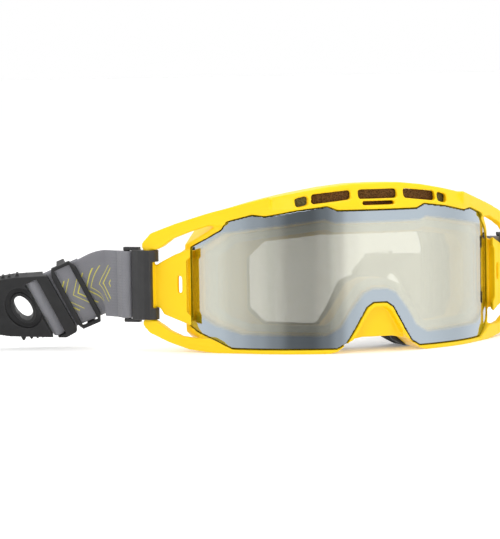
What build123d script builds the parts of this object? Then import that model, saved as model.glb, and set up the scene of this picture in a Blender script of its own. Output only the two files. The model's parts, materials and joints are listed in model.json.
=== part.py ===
from build123d import *
import os
from math import sin, cos, radians, sqrt

os.makedirs("parts", exist_ok=True)

# Motorcycle goggles, millimetres.  +X to the viewer's right, -Y forward (the way the
# wearer looks), +Z up.  The origin is on the resting plane, in the middle, straight
# below the front of the lens.

# ---- driving dimensions -------------------------------------------------------------
LENS_R = 100.0            # outer radius of the cylindrical lens; its axis is upright
LENS_T = 2.0              # outer lens thickness
GASKET_T = 3.6            # air gap of the double lens
INNER_LENS_T = 1.2
CLEAR = 0.3               # gap round the removable lens

FRAME_R = 101.0           # front face of the frame, just proud of the lens
TOP_LEAN_R = 96.5         # front face at the top edge, where it leans back
VENT_FOAM_R = 95.7        # front of the foam strip behind the top vents
VENT_FOAM_T = 2.4
FRAME_REAR_R = 80.0       # rear edge of the moulded frame
FRAME_TOP = 95.0
WALL = 1.8                # moulded wall
SIDE_ANGLE = 76.0         # the frame's front wall is turned this far, each side of the middle
END_FRONT = (96.3, 60.0)  # the curved ring ends on the plan line between these two points
END_REAR = (77.0, 78.0)
FACE_ANGLE = 72.0         # the face seal ends here
FLANGE_R = 77.5           # inner radii of the face seal's layers, front to back
FOAM_BASE_R = 69.5
FOAM_MIDDLE_R = 64.0
FLEECE_R = 62.4
LAYER_GAP = 0.05

FLARE = 42.0              # plan angle where the outriggers leave the curve, straight on
ARM_T = 5.0               # outrigger thickness
PLATE_T = 3.2
PLATE_SINK = 3.6          # the side plate lies this far behind the outrigger's front
PLATE_EDGE_X = 93.2       # inner edge of the side plate, just outside the lens edge
PLATE_STEP = 1.8          # the edge steps out by this much at mid height
BAR_U = 63.2              # bar axis, along the outrigger from where it leaves the curve
BAR_R = 3.2

STRAP_W = 38.0            # elastic webbing
STRAP_T = 1.6
STRAP_MID_Z = 37.8        # middle of the webbing where it leaves the clip
FRONT_L = 23.5            # webbing from the clip's bar to the flex line
FLEX_GAP = 4.6            # webbing left out at the flex line, so that it can turn
SEWN_L = 7.0              # end of the webbing sewn back on itself, beyond the clip's bar
CLIP_REACH = 14.0         # frame bar to webbing bar
CLIP_T = 5.0
LOOP_R = 1.9              # inside radius of a webbing loop
LOOP_OUT = LOOP_R + STRAP_T

SLIDER_AT = 15.8          # slider middle, along the rear webbing from the flex line
SLIDER_L = 15.5
SLIDER_W = 42.8
TAIL_AT = 6.5             # free end of the webbing, doubled back under itself
BUCKLE_AT = 35.4          # buckle bar, along the rear webbing from the flex line
BUCKLE_SKEW = 25.5        # angle between the webbing and the buckle's long side
BUCKLE_T = 5.0
BUCKLE_MID_X = 28.5       # the upper edge's teeth mirror the lower ones about half of this
TOOTH_T = 2.8
HOOK_W = 9.2              # almond-shaped hole that a hook on the helmet goes through
HOOK_L = 16.6

FAR = 400.0               # longer than anything here
AXIS = Axis((0, LENS_R, 0), (0, 0, 1))


# ---- helpers ------------------------------------------------------------------------
def unit(v):
    """A vector of length one."""
    return Vector(*v).normalized()


def barrel(radius, z_low=-5.0, z_high=FRAME_TOP + 10):
    """Full cylinder about the lens axis."""
    return Pos(0, LENS_R, (z_low + z_high) / 2) * Cylinder(radius, z_high - z_low)


def shell(r_in, r_out):
    """Front half of a curved wall about the lens axis, right half only."""
    wall = barrel(r_out) - barrel(r_in)
    return wall & Pos(FAR / 2, LENS_R - FAR / 2, 0) * Box(FAR, FAR, FAR)


def upright(points):
    """Half outline in X and Z, pushed through from front to back."""
    face = make_face(Polyline(*points, close=True))
    return extrude(Plane.XZ * face, FAR, both=True)


def tapered(front, rear):
    """Half outline that changes evenly from FRONT_Y to REAR_Y."""
    ends = [Plane.XZ.offset(-y) * make_face(Polyline(*points, close=True))
            for y, points in ((FRONT_Y, front), (REAR_Y, rear))]
    return loft(ends, ruled=True)


def rounded(points, radii):
    """Half outline in X and Z with rounded corners, pushed through front to back."""
    face = make_face(FilletPolyline(*points, radius=radii, close=True))
    return extrude(Plane.XZ * face, FAR, both=True)


def both_sides(half):
    """The right half joined to its mirror image."""
    return (half + mirror(half, about=Plane.YZ)).clean()


def narrowed(points, half_width, kept=0.0):
    """Half outline squeezed to a half width; what lies within X = kept stays as it is."""
    factor = (half_width - kept) / (max(x for x, z in points) - kept)
    return [(x if x <= kept else kept + (x - kept) * factor, z) for x, z in points]


# ---- outlines, right half, X and Z --------------------------------------------------
LOWER_EDGE = [
    (98, 14.5), (90, 8.2), (81, 2.2), (74, 0), (29, 0), (25, 1.0), (17.5, 6.8), (9, 8.4), (0, 8.4),
]
FRAME_FRONT = [
    (0, FRAME_TOP), (14, 94.7), (28, 93.3), (44, 90.9), (57, 89.3), (71, 88.6), (79, 84.4),
    (81.5, 78.0), (82.4, 72.6), (93.6, 61.6), (98, 58.0),
] + LOWER_EDGE
FRAME_REAR = [
    (0, 93.0), (14, 92.6), (28, 90.5), (44, 86.5), (57, 81.5), (71, 75.0), (79, 72.0),
    (81.5, 70.6), (83.0, 69.0), (93.6, 59.6), (98, 57.6),
] + LOWER_EDGE
FRONT_Y = -5.0            # where the two outlines of the frame lie
REAR_Y = 90.0
LENS_OUTLINE = [
    (0, 79.6), (23.9, 79.6), (29.1, 81.9), (45, 79.8), (60.3, 76.6), (66.1, 77.5),
    (77.8, 73.6), (79.0, 69.4), (91.0, 59.0), (91.4, 14.2), (89.0, 11.2), (79.7, 4.9),
    (75.5, 2.5), (25.0, 2.7), (19.6, 5.7), (15.6, 12.0), (7.9, 25.2), (4.0, 27.9), (0, 27.9),
]
LENS_SEAT = [
    (0, 80.0), (23.8, 80.0), (29.0, 82.3), (45, 80.2), (60.3, 77.0), (66.2, 77.9),
    (78.2, 73.9), (79.5, 69.7), (91.4, 59.2), (91.8, 14.1), (89.3, 10.9), (79.9, 4.5),
    (75.6, 2.1), (24.8, 2.3), (19.3, 5.5),
    (15.2, 11.8), (7.6, 24.9), (3.9, 27.5), (0, 27.5),
]
INNER_OUTLINE = [
    (0, 71.5), (24.0, 71.5), (29.0, 73.4), (60.0, 68.6), (74.0, 66.0), (84.0, 56.0),
    (84.4, 23.5), (77.0, 16.6), (67.0, 12.2), (29.0, 11.4), (22.5, 15.5), (17.0, 25.0),
    (10.0, 34.5), (4.5, 37.0), (0, 37.0),
]
OPENING = [
    (0, 66.0), (30, 66.0), (58, 62.5), (66, 53.0), (66, 24.0), (58, 15.0), (28, 14.5),
    (21, 24.0), (13, 38.0), (5.5, 41.0), (0, 41.0),
]
NOTCH_X = 24.0            # half width of the face seal's nose notch at its mouth
FOAM_OUTLINE = [
    (0, 89.5), (28, 87.6), (57, 81.5), (80, 70.5), (96, 57.0), (96, 17.0), (80, 4.5),
    (70, 0.3), (NOTCH_X, 0.3), (16, 4.5), (11, 12.0), (8, 22.0), (3, 26.0), (0, 26.0),
]


# ---- lens ---------------------------------------------------------------------------
def lens_sheet(outline, r_in, r_out):
    """A pane cut from a curved wall."""
    return both_sides(shell(r_in, r_out) & upright(outline))


def outer_lens():
    return lens_sheet(LENS_OUTLINE, LENS_R - LENS_T, LENS_R)


def inner_pane_radius():
    return LENS_R - LENS_T - GASKET_T


def inner_lens():
    r = inner_pane_radius()
    return lens_sheet(INNER_OUTLINE, r - INNER_LENS_T, r)


def inflate(points, distance):
    """Half outline moved outwards with its corners kept; X = 0 stays the middle."""
    loop = points + [(-x, z) for x, z in reversed(points[1:-1])]
    normals = []
    for (x1, z1), (x2, z2) in zip(loop, loop[1:] + loop[:1]):
        length = sqrt((x2 - x1) ** 2 + (z2 - z1) ** 2)
        normals.append(((z1 - z2) / length, (x2 - x1) / length))
    moved = []
    for i, (x, z) in enumerate(points):
        (ax, az), (bx, bz) = normals[i - 1], normals[i]
        k = distance / (1 + ax * bx + az * bz)
        moved.append((x + k * (ax + bx), z + k * (az + bz)))
    return moved


def lens_gasket():
    """Soft spacer that runs round between the two panes."""
    band = shell(inner_pane_radius(), LENS_R - LENS_T)
    edge = upright(inflate(INNER_OUTLINE, -0.4)) - upright(inflate(INNER_OUTLINE, -4.0))
    return both_sides(band & edge)


# ---- frame --------------------------------------------------------------------------
FLARE_RAD = radians(FLARE)
ARM_START = Vector(FRAME_R * sin(FLARE_RAD), LENS_R - FRAME_R * cos(FLARE_RAD), 0)
ARM_DIR = Vector(cos(FLARE_RAD), sin(FLARE_RAD), 0)
ARM_OUT = Vector(sin(FLARE_RAD), -cos(FLARE_RAD), 0)
BAR_POINT = ARM_START + ARM_DIR * BAR_U - ARM_OUT * BAR_R
SIDE_PLANE = Plane(origin=ARM_START, x_dir=ARM_DIR, z_dir=ARM_OUT)


def side_panel(points, radii, thickness, sink=0.0):
    """Flat panel on the outrigger's side plane; U along the arm, V is height."""
    face = make_face(FilletPolyline(*points, radius=radii, close=True))
    return extrude(SIDE_PLANE.offset(-sink) * face, -thickness)


def beyond_end(inset=0.0):
    """All that lies outside the ring's end line, or outside the line moved in."""
    along = unit((END_REAR[0] - END_FRONT[0], END_REAR[1] - END_FRONT[1], 0))
    outward = Vector(along.Y, -along.X, 0)
    middle = Vector(*END_FRONT, 0) - outward * inset
    corners = [middle - along * FAR, middle + along * FAR,
               middle + (along + outward) * FAR, middle + (outward - along) * FAR]
    return extrude(make_face(Polyline(*corners, close=True)), FAR, both=True)


def front_ring():
    """Curved body of the frame: leaning top band, lens seat, hollow rear channel."""
    profile = Polyline(
        (LENS_R - FRAME_R, 0), (LENS_R - FRAME_R, 80.5), (LENS_R - TOP_LEAN_R, FRAME_TOP),
        (LENS_R - FRAME_REAR_R, FRAME_TOP), (LENS_R - FRAME_REAR_R, 0), close=True)
    ring = revolve(Plane.YZ * make_face(profile), AXIS, SIDE_ANGLE)
    ring = (ring & tapered(FRAME_FRONT, FRAME_REAR)) - beyond_end()
    inside = tapered(inflate(FRAME_FRONT, -WALL), inflate(FRAME_REAR, -WALL)) - beyond_end(WALL)
    deep = (shell(FRAME_REAR_R - 5, 94.0) & inside) - upright(inflate(INNER_OUTLINE, 3.0))
    shallow = (shell(FRAME_REAR_R - 5, 90.4) & inside) - upright(inflate(OPENING, WALL))
    ring = ring - deep - shallow
    pocket = upright(inflate(INNER_OUTLINE, 0.5)) - barrel(inner_pane_radius() - INNER_LENS_T - CLEAR)
    return ring - lens_way() - ahead(pocket) - ahead(upright(OPENING)) - vent_foam_seat()


def ahead(solid):
    """The part of a solid that is in front of the lens axis."""
    return solid & Pos(0, 0, 50) * Box(FAR, 2 * 90.0, FAR)



def vent_slots():
    """Openings through the top band: middle, long and end slot, and a narrow one below."""
    middle = rounded([(-11.7, 85.8), (11.7, 85.8), (11.4, 91.0), (-11.4, 91.0)], 1.3)
    long_slot = rounded([(16.0, 85.7), (37.4, 83.2), (37.0, 88.7), (15.8, 90.9)], 1.3)
    end_slot = rounded([(39.0, 82.9), (45.4, 81.5), (45.8, 86.3), (38.8, 88.3)], 1.3)
    narrow = rounded([(-9.8, 82.3), (9.8, 82.3), (9.6, 84.5), (-9.6, 84.5)], 0.6)
    band = barrel(FRAME_R + 3) - barrel(VENT_FOAM_R)
    return (middle + long_slot + end_slot + narrow) & band


def vent_foam_outline():
    return [(0, 92.0), (28, 89.9), (47.5, 86.6), (47.5, 80.2), (28, 81.2), (0, 81.4)]


def vent_foam_seat():
    """Pocket in the top band that the vent foam is stuck in, open to the rear."""
    return shell(92.0, VENT_FOAM_R) & upright(inflate(vent_foam_outline(), 0.1))


def floor_vents():
    """Slots through the bottom wall."""
    slots = Part()
    for x in (39, 49, 59):
        slots = slots + upright([(x - 3.5, -1), (x + 3.5, -1), (x + 3.5, 5), (x - 3.5, 5)])
    return slots & (barrel(89.0) - barrel(84.5))


def nose_recess():
    """The nose panel is sunk inside the lip that follows the lens notch."""
    panel = upright([
        (0, -2), (22, -2), (18.5, 4.0), (14.0, 10.5), (6.6, 23.0), (3.2, 25.6), (0, 25.6)])
    return panel - barrel(95.5)


def upper_arm():
    return side_panel(
        [(-12, 87.8), (9.6, 82.6), (26.5, 78.4), (45.6, 72.7), (61.0, 67.2), (66.4, 61.5),
         (66.4, 57.8), (58.0, 57.8), (54.0, 59.6), (47.5, 64.2), (37.3, 68.0), (25.0, 71.6),
         (15.0, 71.6), (2.0, 78.0), (-12, 81.0)],
        1.2, ARM_T)


def lower_arm():
    return side_panel(
        [(5.0, 0), (24.3, 0), (38.6, 1.7), (50.8, 5.5), (62.5, 10.6), (66.4, 15.0),
         (66.4, 17.8), (59.0, 17.8), (55.4, 15.6), (50.6, 12.3), (43.0, 9.1), (35.5, 8.2),
         (26.0, 8.2), (12.0, 3.6), (5.0, 2.8)],
        0.8, ARM_T)


def side_plate():
    """Sunk panel between the two arms, with the slanted slot through it and a step in
    its inner edge."""
    plate = side_panel(
        [(34.0, 60.2), (48.2, 54.9), (55.6, 51.2), (60.0, 48.6), (62.2, 44.0), (62.6, 38.0),
         (62.0, 30.5), (60.6, 25.4), (57.2, 24.4), (55.0, 20.9), (46.5, 17.8), (34.0, 13.2)],
        0.5, PLATE_T, PLATE_SINK)
    slot = side_panel([(43.6, 33.8), (46.3, 32.8), (46.3, 43.4), (43.6, 42.4)], 0.6, 14.0, -2.0)
    step = PLATE_EDGE_X + PLATE_STEP
    edge = upright([
        (PLATE_EDGE_X, 70), (PLATE_EDGE_X, 53.6), (step, 51.6), (step, 22.4),
        (PLATE_EDGE_X, 20.4), (PLATE_EDGE_X, 0), (FAR / 2, 0), (FAR / 2, 70)])
    return (plate & edge) - slot


def side_wall():
    """Wall from the plate's rear face round the lens edge to the end of the ring."""
    wall = make_face(Polyline(
        (94.6, 57.4), (96.4, 59.2), (93.2, 67.6), (88.4, 71.2), (88.4, 60.6), (93.6, 60.6),
        close=True))
    return Pos(0, 0, 16.6) * extrude(wall, 57.0 - 16.6)


def outrigger_bar():
    """Upright bar that the clip hooks on, with the arms' ends closed round it."""
    return Pos(BAR_POINT.X, BAR_POINT.Y, 38.0) * Cylinder(BAR_R, 50.0)


def frame():
    half = front_ring() + upper_arm() + lower_arm() + side_plate() + side_wall() + outrigger_bar()
    half = half - vent_slots() - floor_vents() - nose_recess() - lens_way()
    return both_sides(half & Pos(FAR / 2, 0, 0) * Box(FAR, FAR, FAR))


def lens_way():
    """The lens seat and all that is in front of it, so that the lens pulls straight out."""
    seat = upright(LENS_SEAT) - barrel(LENS_R - LENS_T - CLEAR)
    return seat & Pos(0, 0, 50) * Box(FAR, 2 * 90.0, FAR)


# ---- face side ----------------------------------------------------------------------
def ring_layer(r_in, r_out, opening_x):
    """One layer of the face seal, as wide as its inner radius allows; the nose notch
    keeps its width."""
    half_width = r_in * sin(radians(FACE_ANGLE))
    body = shell(r_in, r_out) & upright(narrowed(FOAM_OUTLINE, half_width, NOTCH_X))
    return both_sides(body - upright(narrowed(OPENING, opening_x)))


def face_flange():
    return ring_layer(FLANGE_R, FRAME_REAR_R - LAYER_GAP, 64.0)


def foam_base():
    return ring_layer(FOAM_BASE_R, FLANGE_R - LAYER_GAP, 61.0)


def foam_middle():
    return ring_layer(FOAM_MIDDLE_R, FOAM_BASE_R - LAYER_GAP, 56.0)


def foam_fleece():
    return ring_layer(FLEECE_R, FOAM_MIDDLE_R - LAYER_GAP, 54.0)


def top_vent_foam():
    """Open-cell strip stuck behind the vent slots."""
    strip = shell(VENT_FOAM_R - VENT_FOAM_T, VENT_FOAM_R - LAYER_GAP)
    return both_sides(strip & upright(vent_foam_outline()))


def bottom_vent_foam():
    """Two open-cell strips over the floor vents, inside the channel."""
    half = shell(83.0, 90.0) & upright([(34, WALL), (64, WALL), (64, WALL + 3), (34, WALL + 3)])
    return half + mirror(half, about=Plane.YZ)


# ---- strap parts --------------------------------------------------------------------
def clip():
    """Hooks on the outrigger's bar and carries the webbing; bar axis at the origin,
    reaching out along +X, its crowned outer face towards -Y."""
    body_to = 9.6
    hook_h = 6.6
    ear_h = 2.0
    crowned = make_face(Polyline(
        (-3.0, -2.0), (-2.9, -4.4), (-2.0, -5.5), (1.0, -5.8), (5.0, -5.2), (body_to, -3.4),
        (body_to, CLIP_T / 2), (2.4, CLIP_T / 2), close=True))
    body_h = STRAP_W + 1.4
    body = Pos(0, 0, STRAP_MID_Z - body_h / 2) * extrude(crowned, body_h)
    hook = Cylinder(BAR_R + 2.1, hook_h) + Pos(body_to / 2, 0, 0) * Box(body_to, CLIP_T, hook_h)
    ear = Box(CLIP_REACH + 1.6 - 6.0, 3.6, ear_h)
    solid = body + Pos(CLIP_REACH, 0, STRAP_MID_Z) * Cylinder(1.6, STRAP_W + 3.0)
    for side in (-1, 1):
        solid = solid + Pos(0, 0, STRAP_MID_Z + side * (STRAP_W / 2 + 0.7 - hook_h / 2)) * hook
        ear_z = STRAP_MID_Z + side * (STRAP_W / 2 + 0.4 + ear_h / 2)
        solid = solid + Pos((6.0 + CLIP_REACH + 1.6) / 2, 0, ear_z) * ear
    return solid - Pos(0, 0, STRAP_MID_Z) * Cylinder(BAR_R + 0.3, 2 * STRAP_W)


def strap_front():
    """Webbing loop round the clip's bar and its sewn double stretch; the bar axis is at
    the origin, the webbing runs along +X, the flex line is at X = FRONT_L."""
    loop = Cylinder(LOOP_OUT, STRAP_W) - Cylinder(LOOP_R, STRAP_W)
    double_from = LOOP_R + 0.4
    double = Pos((double_from + SEWN_L) / 2, 0, 0) * Box(SEWN_L - double_from, 2 * STRAP_T, STRAP_W)
    stop = FRONT_L - FLEX_GAP - STRAP_T / 2
    single_from = SEWN_L - 2.0
    single = Pos((single_from + stop) / 2, 0, 0) * Box(stop - single_from, STRAP_T, STRAP_W)
    end = Pos(stop, 0, 0) * Cylinder(STRAP_T / 2, STRAP_W)
    return loop + double + single + end - Cylinder(LOOP_R, STRAP_W)


def strap_rear():
    """Webbing from the flex line to the buckle's bar; X along, Y across, Z outer side."""
    knuckle = Rot(90, 0, 0) * Cylinder(STRAP_T / 2, STRAP_W)
    single = Pos(8.0 / 2, 0, 0) * Box(8.0, STRAP_W, STRAP_T)
    double_l = BUCKLE_AT - TAIL_AT
    double = Pos(TAIL_AT + double_l / 2, 0, -STRAP_T / 2) * Box(double_l, STRAP_W, 2 * STRAP_T)
    loop_at = Pos(BUCKLE_AT, 0, -STRAP_T / 2) * Rot(90, 0, 0)
    loop = loop_at * Cylinder(LOOP_OUT, STRAP_W)
    hole = loop_at * Cylinder(LOOP_R, STRAP_W + 2)
    return knuckle + single + double + loop - hole


def slider():
    """Three-bar slider: a flat frame over the webbing, the middle bar under it."""
    gap = 0.35
    top = STRAP_T / 2 + gap
    under = -1.5 * STRAP_T - gap
    leg_w = 2.9
    leg_t = 2.0
    end_w = (SLIDER_W - STRAP_W) / 2 - 0.4
    bar_w = 4.6
    bar_t = 1.8
    height = top + leg_t - under + bar_t
    solid = Pos(0, 0, under - bar_t / 2) * Box(bar_w, SLIDER_W, bar_t)
    for side in (-1, 1):
        leg = Pos(side * (SLIDER_L - leg_w) / 2, 0, top + leg_t / 2) * Box(leg_w, SLIDER_W, leg_t)
        end_y = side * (SLIDER_W - end_w) / 2
        end = Pos(0, end_y, top + leg_t / 2) * Box(SLIDER_L, end_w, leg_t)
        post = Pos(0, end_y, top + leg_t - height / 2) * Box(bar_w, end_w, height)
        solid = solid + leg + end + post
    x, y = SLIDER_L / 2, SLIDER_W / 2
    plan = Polyline(
        (-x, 5.2 - y), (2.2 - x, -y), (x - 2.2, -y), (x, 5.2 - y),
        (x, y - 5.2), (x - 2.2, y), (2.2 - x, y), (-x, y - 5.2), close=True)
    return solid & extrude(make_face(plan), FAR, both=True)


def tooth(x, edge_y, depth):
    """One serration on a long edge of the buckle; depth is signed, away from the edge."""
    foot = 0.5 + 0.6 * abs(depth)
    tip = 0.5
    y_in = edge_y - (0.9 if depth > 0 else -0.9)
    outline = Polyline(
        (x - foot, y_in), (x + foot, y_in), (x + tip, edge_y + depth), (x - tip, edge_y + depth),
        close=True)
    return extrude(make_face(outline), TOOTH_T)


def buckle():
    """Helmet-side buckle plate.  X along its long side, Y across, Z outer side; its bar
    axis passes the origin, skewed to the plate."""
    skew = Rot(0, 0, -BUCKLE_SKEW)
    hole_at = Pos(12.5, 0.9, 0) * skew
    outline = make_face(FilletPolyline(
        (-12.0, -18.4), (-19.0, -14.2), (-1.0, 21.6), (18.0, 20.4), (31.0, 18.0), (38.0, 9.0),
        (38.0, -8.0), (31.0, -15.6), (20.0, -17.3), radius=2.5, close=True))
    plate = Pos(0, 0, -1.8) * extrude(outline, BUCKLE_T + 1.4)
    webbing_way = skew * Pos(-10.6, 0, -2.0) * Box(14.0, STRAP_W + 1.4, 8.4)
    loop_way = skew * Pos(-0.1, 0, 2.5) * Box(2 * LOOP_OUT + 0.6, STRAP_W + 0.8, 14.0)
    hook_hole = hole_at * extrude(Ellipse(HOOK_W / 2, HOOK_L / 2), FAR, both=True)
    rim = hole_at * extrude(Ellipse(HOOK_W / 2 + 1.8, HOOK_L / 2 + 1.8), FAR, both=True)
    dish = hole_at * Pos(0, 0, 2.6) * extrude(Ellipse(10.0, 13.5), BUCKLE_T)
    bar = skew * Rot(90, 0, 0) * Cylinder(1.6, STRAP_W + 1.8)
    plate = plate - webbing_way - loop_way - hook_hole - (dish - rim) + bar
    for y in (-3.2, 3.6):
        plate = plate + hole_at * Pos(HOOK_W / 2, y, BUCKLE_T - 1.8) * Box(1.6, 1.6, 2.4)
    for x, depth in ((12.6, 3.3), (8.1, 2.3), (4.6, 1.9), (1.6, 1.5), (-0.8, 1.1), (-2.5, 0.8)):
        plate = plate + tooth(x, -17.6, -depth)
        plate = plate + tooth(BUCKLE_MID_X - x, 18.9, depth)
    return plate


# ---- where the strap parts lie ------------------------------------------------------
# Each side is described on the +X side and mirrored for the wearer's right (-X).
def heading(angle):
    return Vector(cos(radians(angle)), sin(radians(angle)), 0)


class Side:
    """Rest position of one side's clip, webbing, slider and buckle."""

    def __init__(self, name, mirrored, clip_angle, front_angle, along, across):
        self.name = name
        self.mirrored = mirrored
        self.clip_dir = heading(clip_angle)
        self.front_dir = heading(front_angle)
        self.bar = Vector(BAR_POINT.X, BAR_POINT.Y, 0)
        self.loop = self.bar + self.clip_dir * CLIP_REACH + Vector(0, 0, STRAP_MID_Z)
        self.flex = self.loop + self.front_dir * FRONT_L
        self.along = unit(along)
        across = Vector(*across)
        self.across = (across - self.along * across.dot(self.along)).normalized()
        self.out = self.along.cross(self.across)
        self.flex_axis = (self.across + Vector(0, 0, 1)).normalized()
        self.slider_at = self.flex + self.along * SLIDER_AT
        self.buckle_at = self.flex + self.along * BUCKLE_AT - self.out * (STRAP_T / 2)

    def upright_plane(self, origin, direction):
        return Plane(origin=origin, x_dir=direction, z_dir=(0, 0, 1))

    def strap_plane(self, origin, turn=0.0):
        x_dir = self.along * cos(radians(turn)) + self.across * sin(radians(turn))
        return Plane(origin=origin, x_dir=x_dir, z_dir=self.out)

    def parts(self):
        placed = {
            "clip": self.upright_plane(self.bar, self.clip_dir) * clip(),
            "strap_front": self.upright_plane(self.loop, self.front_dir) * strap_front(),
            "strap_rear": self.strap_plane(self.flex) * strap_rear(),
            "slider": self.strap_plane(self.slider_at) * slider(),
            "buckle": self.strap_plane(self.buckle_at, BUCKLE_SKEW) * buckle(),
        }
        if self.mirrored:
            placed = {node: mirror(solid, about=Plane.YZ) for node, solid in placed.items()}
        return {node + "_" + self.name: solid for node, solid in placed.items()}


SIDES = [
    Side("right", True, FLARE, 67.0, (0.827, 0.407, -0.387), (0.497, -0.207, 0.843)),
    Side("left", False, FLARE + 50.0, 125.3, (-0.931, 0.100, -0.350), (-0.348, 0.037, 0.937)),
]


def main():
    nodes = {
        "frame": frame(),
        "face_flange": face_flange(),
        "foam_base": foam_base(),
        "foam_middle": foam_middle(),
        "foam_fleece": foam_fleece(),
        "top_vent_foam": top_vent_foam(),
        "bottom_vent_foam": bottom_vent_foam(),
        "outer_lens": outer_lens(),
        "lens_gasket": lens_gasket(),
        "inner_lens": inner_lens(),
    }
    for side in SIDES:
        nodes.update(side.parts())
    for name, solid in nodes.items():
        export_step(solid, "parts/" + name + ".step")


if __name__ == "__main__":
    main()
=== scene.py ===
import json
from math import cos, pi, radians, sin

import bmesh
import bpy
from mathutils import Matrix, Vector, noise
from mathutils.bvhtree import BVHTree


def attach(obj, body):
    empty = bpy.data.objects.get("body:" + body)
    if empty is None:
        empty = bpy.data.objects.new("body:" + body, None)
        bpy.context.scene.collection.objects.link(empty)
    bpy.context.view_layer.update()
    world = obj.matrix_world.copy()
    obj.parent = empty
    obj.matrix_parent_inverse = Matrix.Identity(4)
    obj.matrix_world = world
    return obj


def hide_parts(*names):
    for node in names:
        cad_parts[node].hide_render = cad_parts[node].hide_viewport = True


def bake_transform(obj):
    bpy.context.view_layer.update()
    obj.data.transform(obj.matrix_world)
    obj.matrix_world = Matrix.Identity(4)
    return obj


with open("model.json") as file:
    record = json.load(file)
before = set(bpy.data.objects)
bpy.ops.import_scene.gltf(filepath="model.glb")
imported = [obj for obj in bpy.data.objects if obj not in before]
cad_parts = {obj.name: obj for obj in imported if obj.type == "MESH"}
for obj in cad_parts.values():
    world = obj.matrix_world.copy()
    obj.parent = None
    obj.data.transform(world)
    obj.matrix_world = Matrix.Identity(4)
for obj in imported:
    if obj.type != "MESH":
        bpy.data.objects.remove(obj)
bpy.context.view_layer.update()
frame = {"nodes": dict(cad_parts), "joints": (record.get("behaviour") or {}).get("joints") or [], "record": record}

# Motorcycle goggles: the looks.  Metres, in the frame's own axes: +X to the right as seen
# from the front, -Y forward, +Z up, resting plane at Z = 0.
MM = 0.001
JOINTS = {joint["name"]: joint for joint in frame["joints"]}
MOUNTS = {mount["name"]: mount for mount in frame["record"]["mounts"]}
UP = Vector((0, 0, 1))
SHADE_FROM = 37.5 * MM                 # the vent foam turns olive grey from here outward: painted shade in the end slots
SHADE_TO = 39.5 * MM
PRINT_FROM = 30 * MM                  # the webbing's print starts this far from its sewn end
PRINT_TO = 62 * MM                    # and ends before the buckle's loop
LENS_RADIUS = 100 * MM
LENS_T = 2 * MM                       # thickness of the outer pane
INNER_PANE_R = 93.8 * MM              # middle of the inner pane
LENS_AXIS = Vector((0, LENS_RADIUS, 0))


# ---- meshes ---------------------------------------------------------------------------
def new_object(name, verts, faces):
    mesh = bpy.data.meshes.new(name)
    mesh.from_pydata([tuple(v) for v in verts], [], faces)
    mesh.update()
    made = bpy.data.objects.new(name, mesh)
    bpy.context.scene.collection.objects.link(made)
    return made


def copy_of(node, name):
    """A mesh of its own with the shape of a CAD node."""
    made = bpy.data.objects.new(name, frame["nodes"][node].data.copy())
    made.data.materials.clear()
    bpy.context.scene.collection.objects.link(made)
    return made


def apply_modifiers(piece):
    """Puts the result of a piece's modifiers into its mesh."""
    depsgraph = bpy.context.evaluated_depsgraph_get()
    mesh = bpy.data.meshes.new_from_object(piece.evaluated_get(depsgraph))
    old = piece.data
    piece.modifiers.clear()
    piece.data = mesh
    bpy.data.meshes.remove(old)


def corners_of(piece, what):
    """Vertex places or normals as a list of vectors, read in one go."""
    count = len(piece.data.vertices)
    flat = [0.0] * (3 * count)
    source = piece.data.vertices if what == "co" else piece.data.vertex_normals
    source.foreach_get("co" if what == "co" else "vector", flat)
    return [Vector(flat[3 * i:3 * i + 3]) for i in range(count)]


def move_corners(piece, places):
    piece.data.vertices.foreach_set("co", [number for place_on in places for number in place_on])
    piece.data.update()


def fused(piece, voxel, smoothing, faces):
    """Fuses a piece's overlapping solids into one skin with soft moulded edges."""
    remesh = piece.modifiers.new("fuse", "REMESH")
    remesh.mode = "VOXEL"
    remesh.voxel_size = voxel
    remesh.adaptivity = 0
    smooth = piece.modifiers.new("soften", "SMOOTH")
    smooth.factor = 0.5
    smooth.iterations = smoothing
    apply_modifiers(piece)
    count = 2 * len(piece.data.polygons)
    if count > faces:
        thin = piece.modifiers.new("thin", "DECIMATE")
        thin.ratio = faces / count
        apply_modifiers(piece)
    shade_smooth(piece)
    return piece


def shade_smooth(piece):
    piece.data.polygons.foreach_set("use_smooth", [True] * len(piece.data.polygons))
    piece.data.update()


def finish_piece(piece, material, slot, *nodes):
    """Gives a piece its material and hides the CAD nodes it stands for."""
    piece.data.materials.clear()
    piece.data.materials.append(material)
    if nodes:
        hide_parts(*nodes)
    return piece


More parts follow.
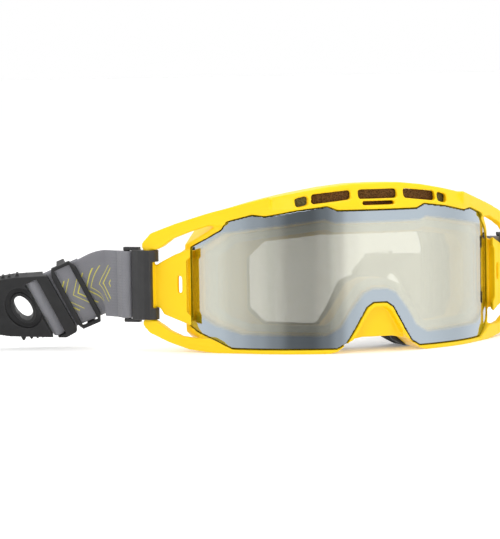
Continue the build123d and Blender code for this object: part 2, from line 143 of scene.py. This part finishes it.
# ---- materials ------------------------------------------------------------------------
class Shader:
    """A Principled material and short ways to add nodes to it."""

    def __init__(self, name, color, roughness, **sockets):
        self.material = bpy.data.materials.new(name)
        self.material.use_nodes = True
        self.tree = self.material.node_tree
        self.main = self.tree.nodes["Principled BSDF"]
        self.main.inputs["Base Color"].default_value = (*color, 1)
        self.main.inputs["Roughness"].default_value = roughness
        for socket, value in sockets.items():
            self.main.inputs[socket.replace("_", " ")].default_value = value
        self.height = None

    def node(self, kind, **values):
        made = self.tree.nodes.new(kind)
        for key, value in values.items():
            setattr(made, key, value)
        return made

    def link(self, source, target):
        self.tree.links.new(source, target)

    def coordinates(self):
        return self.node("ShaderNodeTexCoord").outputs["Object"]

    def attribute(self, name):
        return self.node("ShaderNodeAttribute", attribute_name=name).outputs["Vector"]

    def noise(self, scale, detail=4.0, vector=None):
        made = self.node("ShaderNodeTexNoise")
        made.inputs["Scale"].default_value = scale
        made.inputs["Detail"].default_value = detail
        self.link(vector or self.coordinates(), made.inputs["Vector"])
        return made.outputs["Fac"]

    def cells(self, scale, vector=None):
        made = self.node("ShaderNodeTexVoronoi")
        made.inputs["Scale"].default_value = scale
        self.link(vector or self.coordinates(), made.inputs["Vector"])
        return made.outputs["Distance"]

    def math(self, operation, a, b=0.0):
        made = self.node("ShaderNodeMath", operation=operation)
        for socket, value in zip(made.inputs, (a, b)):
            if isinstance(value, (int, float)):
                socket.default_value = value
            else:
                self.link(value, socket)
        return made.outputs[0]

    def remap(self, value, low, high, new_low, new_high):
        made = self.node("ShaderNodeMapRange")
        self.link(value, made.inputs["Value"])
        for socket, number in zip(("From Min", "From Max", "To Min", "To Max"),
                                  (low, high, new_low, new_high)):
            made.inputs[socket].default_value = number
        return made.outputs["Result"]

    def mix(self, factor, a, b):
        """Colour a where the factor is 0, b where it is 1."""
        made = self.node("ShaderNodeMix", data_type="RGBA")
        self.link(factor, made.inputs["Factor"])
        for socket, value in ((made.inputs["A"], a), (made.inputs["B"], b)):
            if isinstance(value, tuple):
                socket.default_value = (*value, 1)
            else:
                self.link(value, socket)
        return made.outputs["Result"]

    def vary_color(self, factor, a, b):
        self.link(self.mix(factor, a, b), self.main.inputs["Base Color"])

    def vary_roughness(self, value, low, high):
        self.link(self.remap(value, 0.3, 0.7, low, high), self.main.inputs["Roughness"])

    def bump(self, value, distance, strength=1.0):
        """Adds relief; distance is in metres."""
        made = self.node("ShaderNodeBump")
        made.inputs["Distance"].default_value = distance
        made.inputs["Strength"].default_value = strength
        self.link(value, made.inputs["Height"])
        if self.height is not None:
            self.link(self.height, made.inputs["Normal"])
        self.height = made.outputs["Normal"]
        self.link(self.height, self.main.inputs["Normal"])


def split(shader, vector):
    parts = shader.node("ShaderNodeSeparateXYZ")
    shader.link(vector, parts.inputs[0])
    return parts.outputs


def elastomer():
    """Bright yellow satin moulding with a fine mould grain."""
    s = Shader("yellow_elastomer", (1.0, 0.65, 0.002), 0.42, Specular_IOR_Level=0.36)
    cloud = s.noise(35, 3)
    s.vary_color(cloud, (1.0, 0.63, 0.001), (1.0, 0.68, 0.003))
    s.vary_roughness(s.noise(180), 0.34, 0.48)
    s.bump(s.noise(2600, 2), 0.00003, 0.5)
    return s.material


def moulded(name, dark, light, grain=1800, roughness=(0.38, 0.52)):
    """Black or dark grey moulded plastic."""
    s = Shader(name, dark, roughness[0])
    s.vary_color(s.noise(120, 3), dark, light)
    s.vary_roughness(s.noise(260), *roughness)
    s.bump(s.noise(grain, 2), 0.00006, 0.6)
    return s.material


def open_foam(name, dark, light, cell=900):
    """Open-cell foam: dark pores between lighter walls."""
    s = Shader(name, dark, 0.95, Specular_IOR_Level=0.15)
    pores = s.cells(cell)
    s.vary_color(s.remap(pores, 0.1, 0.6, 0, 1), dark, light)
    s.bump(pores, 0.0006, 1.0)
    s.bump(s.noise(300, 5), 0.0004, 0.5)
    return s.material


def vent_filter():
    """Brown filter foam, turning olive grey towards its ends as painted shade inside the end slots."""
    s = Shader("vent_foam", (0.1, 0.05, 0.02), 0.95, Specular_IOR_Level=0.15)
    pores = s.cells(1400)
    brown = s.mix(s.remap(pores, 0.1, 0.6, 0, 1), (0.035, 0.014, 0.004), (0.17, 0.085, 0.03))
    # olive grey: painted shade, standing in for the shadowed inside of the end slots
    olive = s.mix(s.remap(pores, 0.1, 0.6, 0, 1), (0.08, 0.075, 0.03), (0.2, 0.19, 0.09))
    from_middle = s.math("ABSOLUTE", split(s, s.coordinates())["X"])
    s.vary_color(s.remap(from_middle, SHADE_FROM, SHADE_TO, 0, 1), brown, olive)
    s.bump(pores, 0.0006, 1.0)
    s.bump(s.noise(300, 5), 0.0004, 0.5)
    return s.material


def fleece():
    s = Shader("fleece", (0.012, 0.012, 0.013), 1.0, Specular_IOR_Level=0.1,
               Sheen_Weight=0.6, Sheen_Roughness=0.45)
    s.vary_color(s.noise(1400, 6), (0.007, 0.007, 0.008), (0.035, 0.035, 0.038))
    s.bump(s.noise(2200, 6), 0.0005, 0.9)
    return s.material


def lens_mirror():
    """Half mirror, denser in the band outside the inner pane, with a dark cut edge whose colour blends onto the
    faces as a painted shadow line round the lens.
    """
    s = Shader("lens_mirror", (0.7, 0.82, 0.92), 0.045, Metallic=1.0)
    band, edge, _ = split(s, s.attribute("band"))
    face = s.mix(band, (0.92, 0.92, 0.80), (0.50, 0.57, 0.63))
    # near-black rim: a dark cut edge, blended onto the faces next to it as a painted shadow line
    s.link(s.mix(edge, face, (0.02, 0.02, 0.022)), s.main.inputs["Base Color"])
    dense = s.remap(band, 0, 1, 0.60, 0.985)
    s.link(s.math("MAXIMUM", dense, edge), s.main.inputs["Alpha"])
    s.link(s.remap(s.noise(60), 0.3, 0.7, 0.03, 0.06), s.main.inputs["Roughness"])
    return s.material


def clear_pane():
    """Clear inner pane: a warm beige film at low alpha, for the beige look through the lens."""
    s = Shader("clear_pane", (0.80, 0.68, 0.40), 0.05)
    s.main.inputs["Alpha"].default_value = 0.16
    return s.material


def foam_tape():
    s = Shader("gasket_tape", (0.42, 0.45, 0.44), 0.9)
    s.vary_color(s.noise(500, 4), (0.36, 0.39, 0.38), (0.5, 0.53, 0.52))
    s.bump(s.cells(1500), 0.0003, 0.6)
    return s.material


def webbing_cloth():
    """Grey woven elastic with a yellow line pattern.  The cloth attribute holds the place
    across and along the webbing in metres, and which face it is."""
    s = Shader("webbing", (0.22, 0.22, 0.24), 0.8, Specular_IOR_Level=0.25,
               Sheen_Weight=0.25, Sheen_Roughness=0.4)
    across, along, face = split(s, s.attribute("cloth"))
    warp = s.math("SINE", s.math("MULTIPLY", across, 2 * pi / (0.8 * MM)))
    weft = s.math("SINE", s.math("MULTIPLY", along, 2 * pi / (0.9 * MM)))
    weave = s.math("MULTIPLY", warp, weft)
    plain = s.mix(s.remap(weave, -1, 1, 0, 1), (0.155, 0.155, 0.17), (0.29, 0.29, 0.315))
    blotch = s.remap(s.noise(90, 4), 0.3, 0.7, 0, 1)
    plain = s.mix(blotch, plain, (0.24, 0.24, 0.262))
    # chevrons: distance from slanted lines that repeat along the webbing
    pitch = 17 * MM
    slant = s.math("MULTIPLY", s.math("ABSOLUTE", across), 0.75)
    run = s.math("PINGPONG", s.math("ADD", along, slant), pitch / 2)
    line = s.math("LESS_THAN", s.math("ABSOLUTE", s.math("SUBTRACT", run, 2.6 * MM)), 0.4 * MM)
    thin = s.math("LESS_THAN", s.math("ABSOLUTE", s.math("SUBTRACT", run, 5.6 * MM)), 0.25 * MM)
    line = s.math("MAXIMUM", line, thin)
    inside = s.math("LESS_THAN", s.math("ABSOLUTE", across), 10.5 * MM)
    outer = s.math("MULTIPLY", s.math("LESS_THAN", face, 0.5),
                   s.math("GREATER_THAN", along, PRINT_FROM))
    outer = s.math("MULTIPLY", outer, s.math("LESS_THAN", along, PRINT_TO))
    mark = s.math("MULTIPLY", s.math("MULTIPLY", line, inside), outer)
    shown = s.mix(mark, plain, (0.72, 0.66, 0.10))
    s.link(shown, s.main.inputs["Base Color"])
    s.bump(weave, 0.00012, 0.8)
    s.bump(s.noise(1500, 3), 0.00008, 0.5)
    return s.material


# ---- frame and lens -------------------------------------------------------------------
def make_frame():
    piece = fused(copy_of("frame", "frame_moulding"), 0.62 * MM, 5, 140000)
    finish_piece(piece, elastomer(), "frame", "frame")
    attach(piece, "frame")


def mesh_tree(node):
    source = bmesh.new()
    source.from_mesh(frame["nodes"][node].data)
    tree = BVHTree.FromBMesh(source)
    source.free()
    return tree


def make_lens():
    """The outer pane: exact cylinders in front and behind, a softened rim, and an
    attribute that says how far a point is outside the inner pane, and if it is on the
    rim."""
    piece = fused(copy_of("outer_lens", "outer_lens_pane"), 0.6 * MM, 3, 130000)
    pane = mesh_tree("inner_lens")
    front, back = LENS_RADIUS, LENS_RADIUS - LENS_T
    near = 0.35 * MM
    places, normals = corners_of(piece, "co"), corners_of(piece, "normal")
    band = []
    for i, (spot, normal) in enumerate(zip(places, normals)):
        level = Vector((0, 0, spot.z))
        radius = (spot - LENS_AXIS - level).length
        out = (spot - LENS_AXIS - level) / radius
        # rim flag: the mirror paints these corners near black, a dark cut edge and a painted shadow line
        edge = 1
        for target, sign in ((front, 1), (back, -1)):
            if abs(radius - target) < near and abs(normal.dot(out)) > 0.9:
                places[i] = LENS_AXIS + level + out * target
                normals[i] = out * sign
                edge = 0
        gap = pane.find_nearest(LENS_AXIS + level + out * INNER_PANE_R)[3]
        band.append((min(max((gap - 0.8 * MM) / (1.2 * MM), 0), 1), edge, 0))
    move_corners(piece, places)
    attribute = piece.data.attributes.new("band", "FLOAT_VECTOR", "POINT")
    for i, value in enumerate(band):
        attribute.data[i].vector = value
    piece.data.normals_split_custom_set_from_vertices(normals)
    finish_piece(piece, lens_mirror(), "lens", "outer_lens")
    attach(piece, "lens")


def dress(node, material):
    """Gives a CAD node a material of its own."""
    data = frame["nodes"][node].data
    data.materials.clear()
    data.materials.append(material)


# ---- foam -----------------------------------------------------------------------------
def roughen(piece, scale, amount):
    """Small uneven swell, as foam has."""
    places, normals = corners_of(piece, "co"), corners_of(piece, "normal")
    move_corners(piece, [spot + normal * (noise.noise(spot * scale) - 0.6) * amount
                         for spot, normal in zip(places, normals)])


def make_foams():
    body = open_foam("face_foam", (0.012, 0.012, 0.013), (0.05, 0.05, 0.053))
    middle = open_foam("face_foam_soft", (0.018, 0.018, 0.019), (0.065, 0.065, 0.068), 1300)
    filter_foam = vent_filter()
    for node, name, material, voxel, slot in (
            ("foam_base", "face_foam_base", body, 1.0, "foam"),
            ("foam_middle", "face_foam_middle", middle, 1.0, "foam"),
            ("foam_fleece", "face_fleece", fleece(), 0.7, "fleece")):
        piece = fused(copy_of(node, name), voxel * MM, 4, 90000)
        roughen(piece, 260, 0.22 * MM)
        finish_piece(piece, material, slot, node)
        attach(piece, "frame")
    for node in ("top_vent_foam", "bottom_vent_foam"):
        piece = fused(copy_of(node, node + "_pad"), 0.5 * MM, 2, 60000)
        roughen(piece, 900, 0.15 * MM)
        finish_piece(piece, filter_foam, "vent_foam", node)
        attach(piece, "frame")


def make_flange():
    piece = fused(copy_of("face_flange", "face_flange_moulding"), 0.8 * MM, 3, 90000)
    black = moulded("flange_black", (0.012, 0.012, 0.013), (0.022, 0.022, 0.023))
    finish_piece(piece, black, "flange", "face_flange")
    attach(piece, "frame")


# ---- sides ----------------------------------------------------------------------------
class Side:
    """Directions and points of one side's strap parts, read from the frame."""

    def __init__(self, name, sign):
        self.name = name
        self.sign = sign
        self.bar = Vector(JOINTS["clip_pivot_" + name]["pos_m"])
        self.loop = Vector(JOINTS["strap_swing_" + name]["pos_m"])
        self.flex = Vector(JOINTS["strap_flex_" + name]["pos_m"])
        self.buckle = Vector(JOINTS["buckle_pivot_" + name]["pos_m"])
        self.along = Vector(JOINTS["slider_slide_" + name]["axis"]).normalized()
        self.out = -Vector(MOUNTS["helmet_hook_" + name]["axis"]).normalized()
        self.across = self.out.cross(self.along) * sign
        self.clip_dir = (self.loop - self.bar).normalized()
        self.front_dir = (self.flex - self.loop).normalized()
        self.front_out = self.front_dir.cross(UP) * sign


SIDES = [Side("right", -1), Side("left", 1)]


# ---- webbing --------------------------------------------------------------------------
WEB_W = 38 * MM
WEB_T = 1.5 * MM
WEB_RIBS = 24
SEWN_L = 7 * MM                       # end of the webbing sewn back on the outside
LAYER = 0.8 * MM                      # half the space that one layer of webbing takes
LOOP_R = 1.9 * MM + LAYER             # middle of the webbing round a bar
TAIL_DROP = 1.65 * MM                 # how far the folded tail lies under the webbing
BEND_REACH = 5.5 * MM                 # length of the bend on each side of the fold line


def arc(cx, cy, radius, start, end, steps):
    return [(cx + radius * cos(start + (end - start) * i / steps),
             cy + radius * sin(start + (end - start) * i / steps)) for i in range(steps + 1)]


def webbing_route(side):
    """Stations of the webbing: point, direction of its width.  It starts at the sewn end
    outside, goes round the clip's bar, over the fold line, round the buckle's bar and back."""
    front = [(SEWN_L, LAYER), (6 * MM, LAYER), (4.4 * MM, 1.3 * MM)]
    front += arc(0, 0, LOOP_R, radians(62), radians(298), 14)
    front += [(4.4 * MM, -1.3 * MM), (6 * MM, -LAYER), (7.4 * MM, -0.7 * MM), (11 * MM, 0)]
    end = (side.buckle - side.flex).dot(side.along)
    rear = [(8 * MM, 0), (14 * MM, 0), (20 * MM, 0), (26 * MM, 0), (end - 4.6 * MM, 0.1 * MM)]
    rear += arc(end, -LAYER, LOOP_R, radians(118), radians(-118), 14)
    rear.append((end - 4.6 * MM, -1.75 * MM))
    rear += [(along * MM, -TAIL_DROP) for along in (26, 20, 13, 6)]
    stations = [(side.loop + side.front_dir * u + side.front_out * v, UP) for u, v in front]
    bend_from = side.flex - side.front_dir * BEND_REACH
    bend_to = side.flex + side.along * BEND_REACH
    for i in range(9):
        t = i / 8
        point = bend_from * (1 - t) ** 2 + side.flex * 2 * t * (1 - t) + bend_to * t ** 2
        turn = t * t * (3 - 2 * t)
        stations.append((point, (UP * (1 - turn) + side.across * turn).normalized()))
    stations += [(side.flex + side.along * u + side.out * v, side.across) for u, v in rear]
    return stations


def refined(stations, step):
    """Stations at an even step along a smooth curve through the given ones."""
    points = [Vector(p) for p, w in stations]
    widths = [Vector(w) for p, w in stations]
    made = []
    for i in range(len(points) - 1):
        p0, p1 = points[max(i - 1, 0)], points[i]
        p2, p3 = points[i + 1], points[min(i + 2, len(points) - 1)]
        count = max(1, round((p2 - p1).length / step))
        for k in range(count):
            t = k / count
            place_on = (p1 * 2 + (p2 - p0) * t + (p0 * 2 - p1 * 5 + p2 * 4 - p3) * t * t
                        + (p1 * 3 - p0 - p2 * 3 + p3) * t ** 3) * 0.5
            made.append((place_on, widths[i].lerp(widths[i + 1], t).normalized()))
    made.append((points[-1], widths[-1]))
    return made


def webbing_section():
    """Half-thickness heights across the webbing: ribbed faces and rounded selvedges."""
    count = WEB_RIBS * 4
    section = []
    for i in range(count + 1):
        q = -0.5 + i / count
        edge = min(1.0, (0.5 - abs(q)) * WEB_W / (0.6 * MM))
        height = (WEB_T / 2) * (0.35 + 0.65 * (1 - (1 - edge) ** 2) ** 0.5)
        height += 0.05 * MM * cos(2 * pi * q * WEB_RIBS) * edge
        section.append((q * WEB_W, height))
    return section


def make_webbing(side, material):
    stations = refined(webbing_route(side), 0.9 * MM)
    section = webbing_section()
    verts, cloth, length = [], [], 0.0
    for i, (point, width) in enumerate(stations):
        before = stations[max(i - 1, 0)][0]
        after = stations[min(i + 1, len(stations) - 1)][0]
        tangent = (after - before).normalized()
        normal = width.cross(tangent).normalized() * side.sign
        if i:
            length += (point - before).length
        for q, height in section:
            verts.append(point + width * q + normal * height)
            cloth.append((q, length, 1.0))
        for q, height in reversed(section):
            verts.append(point + width * q - normal * height)
            cloth.append((q, length, 0.0))
    ring = 2 * len(section)
    faces = []
    for i in range(len(stations) - 1):
        for k in range(ring):
            a, b = i * ring + k, i * ring + (k + 1) % ring
            faces.append((a, b, b + ring, a + ring))
    last = (len(stations) - 1) * ring
    half = len(section)
    for k in range(half - 1):
        faces.append((k, ring - 1 - k, ring - 2 - k, k + 1))
        faces.append((last + k, last + k + 1, last + ring - 2 - k, last + ring - 1 - k))
    piece = new_object("webbing_" + side.name, verts, faces)
    attribute = piece.data.attributes.new("cloth", "FLOAT_VECTOR", "POINT")
    for i, value in enumerate(cloth):
        attribute.data[i].vector = value
    tidy = bmesh.new()
    tidy.from_mesh(piece.data)
    bmesh.ops.recalc_face_normals(tidy, faces=tidy.faces)
    tidy.to_mesh(piece.data)
    tidy.free()
    shade_smooth(piece)
    finish_piece(piece, material, "webbing", "strap_front_" + side.name, "strap_rear_" + side.name)
    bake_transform(piece)
    print("webbing", side.name, "flat length", round(length, 4))


# ---- strap hardware -------------------------------------------------------------------
def make_hardware(side, materials):
    for kind, voxel, faces in (
            ("clip", 0.34, 60000), ("slider", 0.34, 60000), ("buckle", 0.32, 90000)):
        node = kind + "_" + side.name
        piece = fused(copy_of(node, kind + "_moulding_" + side.name), voxel * MM, 3, faces)
        slot = "clip" if kind == "clip" else "buckle"
        finish_piece(piece, materials[slot], slot, node)
        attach(piece, node)


# ---- studio ---------------------------------------------------------------------------
def make_floor():
    half = 40.0
    corners = [(-half, -half, 0), (half, -half, 0), (half, half, 0), (-half, half, 0)]
    floor = new_object("floor", corners, [(0, 1, 2, 3)])
    s = Shader("floor", (0.93, 0.93, 0.925), 0.6, Specular_IOR_Level=0.2,
               Emission_Color=(1, 1, 1, 1), Emission_Strength=0.2)
    floor.data.materials.append(s.material)
    floor.visible_glossy = False


def make_world():
    """Pale surround with a dark gap a little to the right of the goggles' front, which
    the mirror lens picks up."""
    world = bpy.data.worlds.new("studio")
    world.use_nodes = True
    bpy.context.scene.world = world
    tree = world.node_tree
    background = tree.nodes["Background"]
    coordinates = tree.nodes.new("ShaderNodeTexCoord")
    parts = tree.nodes.new("ShaderNodeSeparateXYZ")
    tree.links.new(coordinates.outputs["Generated"], parts.inputs[0])
    flip = tree.nodes.new("ShaderNodeMath")
    flip.operation = "MULTIPLY"
    flip.inputs[1].default_value = -1.0
    tree.links.new(parts.outputs["Y"], flip.inputs[0])
    azimuth = tree.nodes.new("ShaderNodeMath")
    azimuth.operation = "ARCTAN2"
    tree.links.new(parts.outputs["X"], azimuth.inputs[0])
    tree.links.new(flip.outputs[0], azimuth.inputs[1])
    turn = tree.nodes.new("ShaderNodeMapRange")
    turn.inputs["From Min"].default_value = -pi
    turn.inputs["From Max"].default_value = pi
    tree.links.new(azimuth.outputs[0], turn.inputs["Value"])
    ramp = tree.nodes.new("ShaderNodeValToRGB")
    tree.links.new(turn.outputs["Result"], ramp.inputs[0])
    tones = [(-180, 1.0), (-112, 1.0), (-90, 0.92), (-76, 0.76), (-60, 0.55), (-48, 0.38),
             (-37, 0.19), (-24, 0.17), (-14, 0.28), (-6, 0.5), (2, 0.85), (14, 1.0), (50, 1.0),
             (85, 0.86), (115, 1.0), (180, 1.0)]
    ramp.color_ramp.interpolation = "EASE"
    while len(ramp.color_ramp.elements) < len(tones):
        ramp.color_ramp.elements.new(0.5)
    for element, (degrees, tone) in zip(ramp.color_ramp.elements, tones):
        element.position = (degrees + 180) / 360
        element.color = (tone, tone, tone, 1)
    tree.links.new(ramp.outputs["Color"], background.inputs["Color"])
    background.inputs["Strength"].default_value = 1.0


def area_light(name, place_at, aim, size, power):
    data = bpy.data.lights.new(name, "AREA")
    data.shape = "RECTANGLE"
    data.size, data.size_y = size
    data.energy = power
    lamp = bpy.data.objects.new(name, data)
    lamp.location = place_at
    lamp.rotation_euler = (Vector(aim) - Vector(place_at)).to_track_quat("-Z", "Y").to_euler()
    bpy.context.scene.collection.objects.link(lamp)


def make_camera():
    """A long lens a little to the goggles' right and just above them."""
    eye = Vector((-0.6053, -1.4663, 0.1607))
    target = Vector((-0.0770, 0.0, 0.0493))
    roll = radians(-0.947)
    data = bpy.data.cameras.new("camera")
    data.sensor_width = 36
    data.sensor_fit = "AUTO"
    data.lens = 190.5
    data.clip_end = 50
    camera = bpy.data.objects.new("camera", data)
    aim = (target - eye).to_track_quat("-Z", "Y").to_matrix().to_4x4()
    camera.matrix_world = Matrix.Translation(eye) @ aim @ Matrix.Rotation(roll, 4, "Z")
    bpy.context.scene.collection.objects.link(camera)
    bpy.context.scene.camera = camera


def main():
    bpy.context.scene.view_settings.view_transform = "Standard"
    make_camera()
    make_world()
    make_floor()
    area_light("overhead", (0.1, -0.1, 1.1), (0, 0.05, 0.05), (1.2, 0.9), 7)
    area_light("front_left", (-0.9, -1.0, 0.7), (0, 0, 0.05), (0.6, 0.6), 4)
    make_frame()
    make_lens()
    dress("inner_lens", clear_pane())
    dress("lens_gasket", foam_tape())
    make_foams()
    make_flange()
    cloth = webbing_cloth()
    plastics = {
        "clip": moulded("clip_grey", (0.024, 0.024, 0.025), (0.038, 0.038, 0.039)),
        "buckle": moulded("buckle_black", (0.012, 0.012, 0.013), (0.03, 0.03, 0.031)),
    }
    for side in SIDES:
        make_webbing(side, cloth)
        make_hardware(side, plastics)


main()
